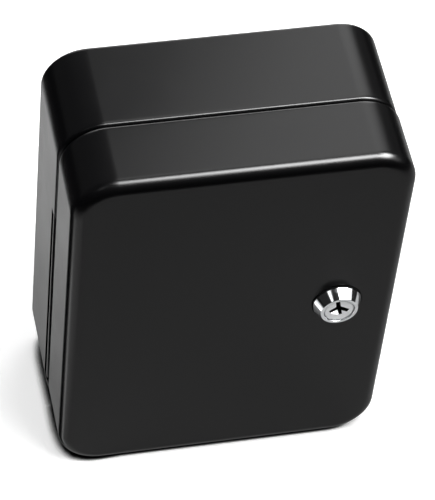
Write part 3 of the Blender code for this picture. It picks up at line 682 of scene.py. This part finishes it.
def makeCase(finish):
    low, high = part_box("case_shell")
    middle = (low + high) / 2
    piece = drawnTray("casePressing", caseTray, (high.y - low.y) / mm, -1, middle)
    rear = high.y / mm
    cutters = []
    spacing = caseTray["wallHoleSpacing"] * mm / 2
    inset = caseTray["wallHoleInset"] * mm
    for x in (middle.x - spacing, middle.x + spacing):
        for z in (low.z + inset, high.z - inset):
            rod = rodShape(caseTray["wallHoleRadius"], -rear - cutterOverrun, cutterOverrun + 2 - rear)
            cutters.append(newPiece(rod, "wallHole", acrossY(x, z)))
    for place in rivetPlaces():
        rod = rodShape(railSizes["rivetHole"], -rear - cutterOverrun, cutterOverrun + 1 - rear, 24)
        cutters.append(newPiece(rod, "rivetHole", acrossY(place.x, place.z)))
    levels = (low.y / mm - cutterOverrun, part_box("hinge_leaf_door")[1].y / mm + traySheet["hingeEndGap"])
    cutters.append(besideHinge("caseNotch", "case_shell", -cutterOverrun, levels, hingeSpan()))
    carve(piece, cutters)
    dress(piece, finish, "case", "case_shell", 0.18, 50)


def makeDoor(finish):
    low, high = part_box("door_shell")
    piece = drawnTray("doorPressing", doorTray, (high.y - low.y) / mm, 1, (low + high) / 2)
    lock = lockPlace()
    around = lockSizes["barrelRadius"] + lockSizes["gap"]
    hole = arcPoints(around, 30, 150, 32) + arcPoints(around, 210, 330, 32)
    cutters = [newPiece(plateShape(hole, -3, cutterOverrun), "lockHole", lock)]
    # The flange makes room for the knuckles, and the whole rim is cut back above and below them.
    rim = high.y / mm
    past = rim + cutterOverrun
    bottom, top = hingeSpan()
    inside = traySheet["drawIn"] + traySheet["sheet"]
    notch = (rim - traySheet["rimBend"] - traySheet["notchGap"], past)
    cutters.append(besideHinge("doorNotch", "door_shell", inside, notch, (bottom, top)))
    inset = doorTray["reliefInset"]
    for heights in ((low.z / mm + inset, bottom), (top, high.z / mm - inset)):
        relief = (rim - doorTray["relief"], past)
        cutters.append(besideHinge("doorRelief", "door_shell", -cutterOverrun, relief, heights))
    carve(piece, cutters)
    dress(piece, finish, "door", "door_shell", 0.18, 50)


# Hinge: two leaves rolled into nine knuckles round one pin
hingeSizes = {"knuckles": 9, "barrelRadius": 3.0, "boreRadius": 2.0, "sheet": 1.0, "gap": 0.3, "slit": 0.25}
hingeSizes.update({"leafCorner": 3.0, "slitTurn": 62, "slitReach": (2.0, 7.6), "pinBreak": (0.5, 0.3)})


def hingeAxis():
    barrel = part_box("hinge_pin")
    return (barrel[0] + barrel[1]) / 2


def makeLeaf(name, node, side, first, body, finish):
    sizes = hingeSizes
    low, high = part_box(node)
    axis = hingeAxis()
    length = (high.z - low.z) / mm
    pitch = length / sizes["knuckles"]
    reach = max(abs(high.y - axis.y), abs(low.y - axis.y)) / mm
    drawn, wall = (0, "case_shell") if side > 0 else (traySheet["drawIn"], "door_shell")
    back = (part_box(wall)[0].x - axis.x) / mm + drawn + traySheet["sheet"] + sizes["gap"]
    half = length / 2
    place = Matrix.Translation(axis)
    plate = boxShape((back, 0, -half), (back + sizes["sheet"], reach, half))
    far = [edge for edge in plate.edges if all(vert.co.y > reach * mm / 2 for vert in edge.verts)]
    ends = [edge for edge in far if abs(edge.verts[0].co.x - edge.verts[1].co.x) > weldDistance]
    bmesh.ops.bevel(
        plate,
        geom=ends,
        offset=sizes["leafCorner"] * mm,
        segments=8,
        profile=0.5,
        affect="EDGES",
        material=-1,
    )
    if side < 0:
        bmesh.ops.scale(plate, vec=(1, -1, 1), verts=plate.verts)
    piece = newPiece(plate, name, place)
    roll = newPiece(rodShape(sizes["barrelRadius"], -half, half), "roll", place)
    carve(piece, [roll], "UNION")
    cutters = [newPiece(rodShape(sizes["boreRadius"], -half - 1, half + 1, 48), "bore", place)]
    reachOut = sizes["barrelRadius"] + sizes["gap"]
    for index in range(first, sizes["knuckles"], 2):
        bottom = index * pitch - half - sizes["gap"] / 2
        top = bottom + pitch + sizes["gap"]
        corner = (reachOut, reachOut)
        cutters.append(newPiece(boxShape((-reachOut, -reachOut, bottom), (*corner, top)), "gap", place))
    # The rolled sheet ends beside its own leaf and leaves a thin slit.
    near, past = sizes["slitReach"]
    slit = boxShape((near, -sizes["slit"] / 2, -half - 1), (past, sizes["slit"] / 2, half + 1))
    turn = Matrix.Rotation(math.radians(side * sizes["slitTurn"]), 4, "Z")
    cutters.append(newPiece(slit, "slit", place @ turn))
    carve(piece, cutters)
    dress(piece, finish, body, node, 0, 40)


def makePin(finish):
    low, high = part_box("hinge_pin")
    radius = (high.x - low.x) / 2 / mm
    half = (high.z - low.z) / 2 / mm
    inward, down = hingeSizes["pinBreak"]
    profile = [(0, half), (radius - inward, half), (radius, half - down), (radius, down - half)]
    profile += [(radius - inward, -half), (0, -half)]
    piece = newPiece(turnedShape(profile, False, 48), "hingePin", Matrix.Translation(hingeAxis()))
    dress(piece, finish, "case", "hinge_pin", 0.08)


# Hook rails: strips of sheet with tongues bent forward and up
railSizes = {
    "plate": 16,
    "sheet": 1.0,
    "hooks": 5,
    "hookPitch": 23.5,
    "hookWidth": 4.0,
    "hookReach": 13,
    "hookBend": 3,
    "hookTip": 4.0,
    "bendSegments": 8,
    "cornerRadius": 1.5,
    "tipRadius": 1.7,
    "rivetHole": 1.9,
}
rivetSizes = {"head": 3.0, "dome": 1.4, "shank": 1.6}
railCount = 4


def rivetPlaces():
    places = []
    for number in range(1, railCount + 1):
        for side in ("left", "right"):
            low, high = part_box("rail_" + str(number) + "_rivet_" + side)
            places.append((low + high) / 2)
    return places


def hookStations(sizes):
    # Places along a hook's outer face, forward and up from the rail's lower edge.
    bend = sizes["hookBend"]
    steps = sizes["bendSegments"]
    turns = [math.pi / 2 * step / steps for step in range(steps + 1)]
    stations = [(bend * (math.cos(turn) - 1), -bend * math.sin(turn)) for turn in turns[1:]]
    reach = bend - sizes["hookReach"]
    stations += [(reach - bend * math.sin(turn), -bend * math.cos(turn)) for turn in turns]
    stations.append((-sizes["hookReach"], sizes["hookTip"]))
    return stations


def makeRail(number, finish):
    sizes = railSizes
    low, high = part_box("hook_rail_" + str(number))
    half = (high.x - low.x) / 2 / mm
    foot = high.z - sizes["plate"] * mm
    middles = [(index - (sizes["hooks"] - 1) / 2) * sizes["hookPitch"] for index in range(sizes["hooks"])]
    places = [-half]
    for middle in middles:
        places += [middle - sizes["hookWidth"] / 2, middle + sizes["hookWidth"] / 2]
    places.append(half)
    bm = bmesh.new()
    verts = [bm.verts.new((x * mm, 0, 0)) for x in places]
    edges = [bm.edges.new(pair) for pair in zip(verts, verts[1:])]
    raised = bmesh.ops.extrude_edge_only(bm, edges=edges)["geom"]
    lifted = [item for item in raised if isinstance(item, bmesh.types.BMVert)]
    bmesh.ops.translate(bm, verts=lifted, vec=(0, 0, sizes["plate"] * mm))
    tips = []
    for edge in edges[1::2]:
        for forward, height in hookStations(sizes):
            grown = bmesh.ops.extrude_edge_only(bm, edges=[edge])["geom"]
            for vert in [item for item in grown if isinstance(item, bmesh.types.BMVert)]:
                vert.co.y = forward * mm
                vert.co.z = height * mm
            edge = next(item for item in grown if isinstance(item, bmesh.types.BMEdge))
        tips += list(edge.verts)
    ends = [vert for vert in bm.verts if abs(abs(vert.co.x) - half * mm) < weldDistance]
    for verts, radius, segments in ((tips, sizes["tipRadius"], 6), (ends, sizes["cornerRadius"], 5)):
        bmesh.ops.bevel(
            bm,
            geom=verts,
            offset=radius * mm,
            segments=segments,
            profile=0.5,
            affect="VERTICES",
            material=-1,
        )
    middle = (low.x + high.x) / 2
    piece = newPiece(bm, "hookRail" + str(number), Matrix.Translation((middle, high.y, foot)))
    top = max(piece.data.polygons, key=lambda polygon: polygon.center.z)
    wall = piece.modifiers.new("sheet", "SOLIDIFY")
    wall.thickness = sizes["sheet"] * mm
    wall.offset = -1 if top.normal.y > 0 else 1
    wall.use_even_offset = True
    settle(piece)
    cutters = []
    for place in rivetPlaces()[2 * number - 2:2 * number]:
        rear = high.y / mm
        rod = rodShape(sizes["rivetHole"], -rear - cutterOverrun, 2 + cutterOverrun - rear, 24)
        cutters.append(newPiece(rod, "rivetHole", acrossY(place.x, place.z)))
    carve(piece, cutters)
    dress(piece, finish, "case", "hook_rail_" + str(number), 0.16, 40)


def makeRivet(number, side, finish):
    node = "rail_" + str(number) + "_rivet_" + side
    low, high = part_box(node)
    sizes = rivetSizes
    base = (high.y - low.y) / mm - sizes["dome"]
    dome = [(sizes["head"] * x, base + sizes["dome"] * z) for z, x in arcPoints(1, 0, 90, 12)]
    dome[0] = (0, dome[0][1])
    profile = dome + [(sizes["shank"], base), (sizes["shank"], 0), (0, 0)]
    middle = (low + high) / 2
    place = Matrix.Translation((middle.x, high.y, middle.z)) @ Matrix.Rotation(math.pi / 2, 4, "X")
    piece = newPiece(turnedShape(profile, False, 40), "rail" + str(number) + "Rivet" + side.title(), place)
    dress(piece, finish, "case", node, 0.1, 40)


# Lock, with Z forward along its own axis and the door's front face at zero
lockSizes = {
    "gasketRadius": 11.5,
    "gasket": 0.5,
    "bezelRadius": 11.0,
    "bezelLand": 0.2,
    "faceRadius": 8.6,
    "bezelHeight": 5.0,
    "barrelRadius": 9.0,
    "barrelLength": 27,
    "flats": 15.6,
    "threadPitch": 1.0,
    "threadDepth": 0.5,
    "plugRadius": 6.7,
    "plugGap": 0.3,
    "plugRecess": 0.3,
    "spigotRadius": 4.0,
    "spigotFlats": 6.0,
    "edgeBreak": 0.2,
    "stopWall": 1.1,
    "stopStart": 33,
    "stopSweep": 204,
    "gap": 0.3,
    "lift": 0.15,
    "gasketBreak": 0.12,
    "boreBreak": (0.12, 0.2),
    "threadStart": -1.4,
    "plugBreak": 0.35,
}
nutSizes = {"flats": 22, "thickness": 3.0, "chamfer": 0.6, "lead": 0.5}
keyway = {
    "depth": 12,
    "middle": (-0.55, 2.35),
    "arms": ((100, 4.7, 2.1, 1.9), (214, 4.6, 2.5, 1.9), (285, 5.1, 2.1, 1.5), (330, 5.4, 2.3, 2.0)),
    "mouth": ((-2.95, -1.12), (-0.37, -1.10)),
    "facet": ((-3.7, -1.3, 0), (-0.7, -2.6, 0), (0.2, -2.4, 0.58), (-0.2, 0, 2.77), (-3.5, -0.5, 0.87)),
    # Keyway walls deeper than this and nearer the axis than this radius take the painted shade.
    "paintedShadeBelow": 0.25,
    "paintedShadeRadius": 6.5,
}
camSizes = {"thickness": 2.0, "hubRadius": 7.8, "width": 10.5, "reach": 23.5, "stepStart": 8.2}
camSizes.update({"stepEnd": 14.0, "foldRadius": 1.4})
stopSizes = {"thickness": 1.0, "radius": 6.8, "lugRadius": 8.6, "lugDegrees": 60}
screwSizes = {"head": 3.8, "headHeight": 2.2, "radius": 1.7, "slot": 0.9, "slotDepth": 1.1}
screwSizes.update({"slotReach": 2.4, "holeDepth": 7.5, "tipBreak": 0.3})


def lockPlace():
    low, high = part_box("lock_gasket")
    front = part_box("door_shell")[0].y
    middle = (low + high) / 2
    return Matrix.Translation((middle.x, front, middle.z)) @ Matrix.Rotation(math.pi / 2, 4, "X")


def doubleFlat(radius, flats, steps=32):
    edge = math.degrees(math.acos(flats / 2 / radius))
    return arcPoints(radius, edge, 180 - edge, steps) + arcPoints(radius, 180 + edge, 360 - edge, steps)


def flatCutters(flat, reach, low, high):
    cutters = []
    for side in (-1, 1):
        near, far = sorted((side * flat, side * reach))
        cutters.append(newPiece(boxShape((near, -reach, low), (far, reach, high)), "flat", lockPlace()))
    return cutters


def makeGasket(finish):
    sizes = lockSizes
    outer = sizes["gasketRadius"]
    inner = sizes["barrelRadius"] + sizes["gap"]
    top = sizes["gasket"]
    foot = sizes["lift"]
    profile = [(inner, foot), (inner, top), (outer - foot, top)]
    profile += [(outer, top - sizes["gasketBreak"]), (outer, foot)]
    piece = newPiece(turnedShape(profile, True), "gasketRing", lockPlace())
    dress(piece, finish, "door", "lock_gasket", 0.05)


def makeBarrel(finish):
    sizes = lockSizes
    bore = sizes["plugRadius"] + sizes["plugGap"]
    front = sizes["gasket"] + sizes["bezelHeight"]
    base = sizes["gasket"] + sizes["lift"]
    soft = sizes["edgeBreak"]
    face = sizes["faceRadius"]
    rear = -sizes["barrelLength"]
    outward, down = sizes["boreBreak"]
    profile = [
        (bore, front - down),
        (bore + outward, front),
        (face - soft, front),
        (face, front - soft),
        (sizes["bezelRadius"], base + sizes["bezelLand"]),
        (sizes["bezelRadius"], base),
        (sizes["barrelRadius"], base),
    ]
    height = sizes["threadStart"]
    root = sizes["barrelRadius"] - sizes["threadDepth"]
    profile.append((sizes["barrelRadius"], height))
    while height > rear + 2 * sizes["threadPitch"]:
        profile.append((root, height - sizes["threadPitch"] / 2))
        height -= sizes["threadPitch"]
        profile.append((sizes["barrelRadius"], height))
    profile += [(root, height - sizes["threadPitch"] / 2), (root, rear), (bore, rear)]
    piece = newPiece(turnedShape(profile, True, 128), "lockBarrel", lockPlace())
    reach = sizes["barrelRadius"] + cutterOverrun
    carve(piece, flatCutters(sizes["flats"] / 2, reach, rear - cutterOverrun, base))
    # A wall round part of the rear end stops the lug of the stop washer.
    start = sizes["stopStart"]
    end = start + sizes["stopSweep"]
    inner = stopSizes["radius"] + sizes["gap"]
    outline = arcPoints(sizes["flats"] / 2 - soft, start, end, 48) + arcPoints(inner, end, start, 48)
    wall = newPiece(plateShape(outline, rear - sizes["stopWall"], rear + soft), "stopWall", lockPlace())
    carve(piece, [wall], "UNION")
    dress(piece, finish, "door", "lock_body", 0.12, 28)


def makeNut(finish):
    sizes = nutSizes
    front = -traySheet["sheet"] - lockSizes["gap"]
    rear = front - sizes["thickness"]
    corner = sizes["flats"] / math.sqrt(3)
    bm = bmesh.new()
    bmesh.ops.create_cone(
        bm,
        cap_ends=True,
        segments=6,
        radius1=corner * mm,
        radius2=corner * mm,
        depth=sizes["thickness"] * mm,
        matrix=Matrix.Translation((0, 0, (front + rear) / 2 * mm)),
    )
    piece = newPiece(bm, "hexNut", lockPlace())
    inner = lockSizes["barrelRadius"] + lockSizes["gap"]
    flat = sizes["flats"] / 2 - sizes["chamfer"]
    profile = [
        (corner + 2, front + 2),
        (corner + 2, rear + sizes["chamfer"] + 1),
        (flat, rear),
        (flat, rear - 2),
        (inner + sizes["lead"], rear - 2),
        (inner + sizes["lead"], rear),
        (inner, rear + sizes["lead"]),
        (inner, front + 2),
    ]
    cone = newPiece(turnedShape(profile, True, 120), "nutCone", lockPlace())
    carve(piece, [cone], "INTERSECT")
    dress(piece, finish, "door", "lock_nut", 0, 24)


def keywayStar(top):
    # Each arm is an angle, a length and a width at its root and its tip. A wider mouth takes the
    # place of the corner between the second arm and the third.
    middle = Vector(keyway["middle"])
    sides = []
    for angle, length, root, tip in keyway["arms"]:
        along = Vector((math.cos(math.radians(angle)), math.sin(math.radians(angle))))
        across = Vector((-along.y, along.x))
        pair = []
        for side in (-0.5, 0.5):
            pair.append((middle + across * side * root, middle + along * length + across * side * tip))
        sides.append(pair)
    outline = []
    for (right, left), (following, _) in zip(sides, sides[1:] + sides[:1]):
        outline += [right[1], left[1], intersect_line_line_2d(*left, *following)]
    outline[5:6] = keyway["mouth"]
    star = plateShape([tuple(point) for point in outline], top - keyway["depth"], top + cutterOverrun)
    return newPiece(star, "keywayStar", lockPlace())


def keywayFacet(top):
    # A slope that leads the key in, between the left arm and the lower one.
    bm = bmesh.new()
    rise = 0.05
    for x, y, depth in keyway["facet"]:
        for level in (top + rise, top - depth):
            bm.verts.new((x * mm, y * mm, level * mm))
    bmesh.ops.convex_hull(bm, input=list(bm.verts))
    return newPiece(bm, "keywayFacet", lockPlace())


def makePlug(finish, inside):
    sizes = lockSizes
    top = sizes["gasket"] + sizes["bezelHeight"] - sizes["plugRecess"]
    rear = -sizes["barrelLength"]
    radius = sizes["plugRadius"]
    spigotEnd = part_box("lock_plug")[1].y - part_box("door_shell")[0].y
    spigotEnd = -spigotEnd / mm
    hole = screwSizes["radius"] + sizes["gap"]
    profile = [
        (0, top),
        (radius - sizes["plugBreak"], top),
        (radius, top - sizes["plugBreak"]),
        (radius, rear),
        (sizes["spigotRadius"], rear),
        (sizes["spigotRadius"], spigotEnd),
        (hole, spigotEnd),
        (hole, spigotEnd + screwSizes["holeDepth"]),
        (0, spigotEnd + screwSizes["holeDepth"]),
    ]
    piece = newPiece(turnedShape(profile, False), "lockPlug", lockPlace())
    cutters = [keywayStar(top), keywayFacet(top)]
    reach = sizes["spigotRadius"] + cutterOverrun
    cutters += flatCutters(sizes["spigotFlats"] / 2, reach, spigotEnd - cutterOverrun, rear)
    carve(piece, cutters)
    dress(piece, finish, "plug", "lock_plug", 0, 30)
    # The keyway's walls take the dull brass coloured dark as painted shade, apart from the slope that
    # leads the key in.
    piece.data.materials.append(inside)
    fromDoor = lockPlace().inverted()
    for polygon in piece.data.polygons:
        middle = fromDoor @ polygon.center / mm
        level = fromDoor.to_3x3() @ polygon.normal
        deep = top - keyway["depth"] - 1 < middle.z < top - keyway["paintedShadeBelow"]
        if deep and math.hypot(middle.x, middle.y) < keyway["paintedShadeRadius"] and level.z < 0.3:
            polygon.material_index = 1


def spigotHole(low, high):
    sizes = lockSizes
    outline = doubleFlat(sizes["spigotRadius"] + sizes["gap"], sizes["spigotFlats"] + 2 * sizes["gap"])
    cutter = plateShape(outline, low - cutterOverrun, high + cutterOverrun)
    return newPiece(cutter, "spigotHole", lockPlace())


def makeStopWasher(finish):
    sizes = stopSizes
    half = sizes["lugDegrees"] / 2
    front = -lockSizes["barrelLength"] - lockSizes["gap"]
    outline = arcPoints(sizes["radius"], half - 90, 270 - half, 72)
    outline += arcPoints(sizes["lugRadius"], 270 - half, 270 + half, 16)
    rear = front - sizes["thickness"]
    piece = newPiece(plateShape(outline, rear, front), "stopWasher", lockPlace())
    carve(piece, [spigotHole(rear, front)])
    dress(piece, finish, "plug", "stop_washer", 0.1)


def makeCam(finish):
    # A stepped strip, seen from the side, trimmed to the outline seen from the front.
    sizes = camSizes
    low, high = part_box("lock_cam")
    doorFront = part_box("door_shell")[0].y
    hubFront = (doorFront - low.y) / mm
    tipRear = (doorFront - high.y) / mm
    hubRear = hubFront - sizes["thickness"]
    half = sizes["hubRadius"]
    stations = (
        (half, hubRear),
        (-sizes["stepStart"], hubRear),
        (-sizes["stepEnd"], tipRear),
        (-sizes["reach"], tipRear),
    )
    bm = bmesh.new()
    ends = [bm.verts.new((x * mm, half * mm, hubRear * mm)) for x in (-half, half)]
    edge = bm.edges.new(ends)
    folds = []
    for along, height in stations[1:]:
        grown = bmesh.ops.extrude_edge_only(bm, edges=[edge])["geom"]
        for vert in [item for item in grown if isinstance(item, bmesh.types.BMVert)]:
            vert.co.y = along * mm
            vert.co.z = height * mm
        edge = next(item for item in grown if isinstance(item, bmesh.types.BMEdge))
        folds.append(edge)
    bmesh.ops.bevel(
        bm,
        geom=folds[:2],
        offset=sizes["foldRadius"] * mm,
        segments=6,
        profile=0.5,
        affect="EDGES",
        material=-1,
    )
    piece = newPiece(bm, "camPlate", lockPlace())
    hub = min(piece.data.polygons, key=lambda polygon: polygon.center.y)
    wall = piece.modifiers.new("plate", "SOLIDIFY")
    wall.thickness = sizes["thickness"] * mm
    wall.offset = -1 if hub.normal.y > 0 else 1
    wall.use_even_offset = True
    settle(piece)
    tip = sizes["width"] / 2
    side = math.degrees(math.asin(tip / half))
    outline = arcPoints(half, side - 90, 270 - side, 72)
    outline += arcPoints(tip, 180, 360, 36, (0, tip - sizes["reach"]))
    trim = newPiece(plateShape(outline, tipRear - 3, hubFront + 3), "camOutline", lockPlace())
    carve(piece, [trim], "INTERSECT")
    carve(piece, [spigotHole(hubRear, hubFront)])
    dress(piece, finish, "plug", "lock_cam", 0.18, 30)


def makeCamScrew(finish):
    sizes = screwSizes
    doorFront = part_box("door_shell")[0].y
    low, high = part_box("cam_washer")
    front, rear = (doorFront - low.y) / mm, (doorFront - high.y) / mm
    inner = sizes["radius"] + lockSizes["gap"]
    outer = (high.x - low.x) / 2 / mm
    profile = [(outer, front), (outer, rear), (inner, rear), (inner, front)]
    piece = newPiece(turnedShape(profile, True, 64), "camWasher", lockPlace())
    dress(piece, finish, "plug", "cam_washer", 0.12)
    low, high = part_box("cam_screw")
    tip, crown = (doorFront - low.y) / mm, (doorFront - high.y) / mm
    seat = crown + sizes["headHeight"]
    waist = seat - sizes["headHeight"] / 2
    dome = [(sizes["head"] * x, waist + (waist - crown) * z) for x, z in arcPoints(1, 0, -90, 10)]
    dome[-1] = (0, crown)
    soft = sizes["tipBreak"]
    profile = [(0, tip), (sizes["radius"] - soft, tip), (sizes["radius"], tip - soft)]
    profile += [(sizes["radius"], seat), (sizes["head"], seat)] + dome
    piece = newPiece(turnedShape(profile, False, 64), "camScrew", lockPlace())
    cutters = []
    wide = sizes["slot"] / 2
    reach = sizes["slotReach"]
    for x, y in ((reach, wide), (wide, reach)):
        slot = boxShape((-x, -y, crown - 1), (x, y, crown + sizes["slotDepth"]))
        cutters.append(newPiece(slot, "slot", lockPlace()))
    carve(piece, cutters)
    dress(piece, finish, "plug", "cam_screw", 0.08)


# Making
makeCamera(cameraView)
for name, box in softboxes.items():
    makeSoftbox(name, box)
makeFloor(studio)
makeWorld(studio)
print("studio: camera, lamps, floor and room")

paint = blackPowderCoat(powderCoatLook)
zinc = brightZincPlate()
chrome = polishedChrome()
satin = satinChrome(lockPlace().translation)
rubber = blackRubber()
# The keyway's brass, coloured almost black as painted shade.
shaded = keywayShadeBrass()
print("materials: paint, zinc, chrome, satin chrome, rubber and oiled brass")

makeCase(paint)
makeDoor(paint)
print("pressings: case and door")

makeLeaf("caseLeaf", "hinge_leaf_case", 1, 1, "case", paint)
makeLeaf("doorLeaf", "hinge_leaf_door", -1, 0, "door", paint)
makePin(zinc)
print("hinge: two leaves and a pin")

for number in range(1, railCount + 1):
    makeRail(number, zinc)
    makeRivet(number, "left", zinc)
    makeRivet(number, "right", zinc)
print("hooks: four rails with rivets")

makeGasket(rubber)
makeBarrel(chrome)
makeNut(zinc)
makePlug(satin, shaded)
makeStopWasher(zinc)
makeCam(zinc)
makeCamScrew(zinc)
print("lock: gasket, barrel, nut, plug, washers, cam and screw")

view = bpy.context.scene.view_settings
view.view_transform = "Standard"
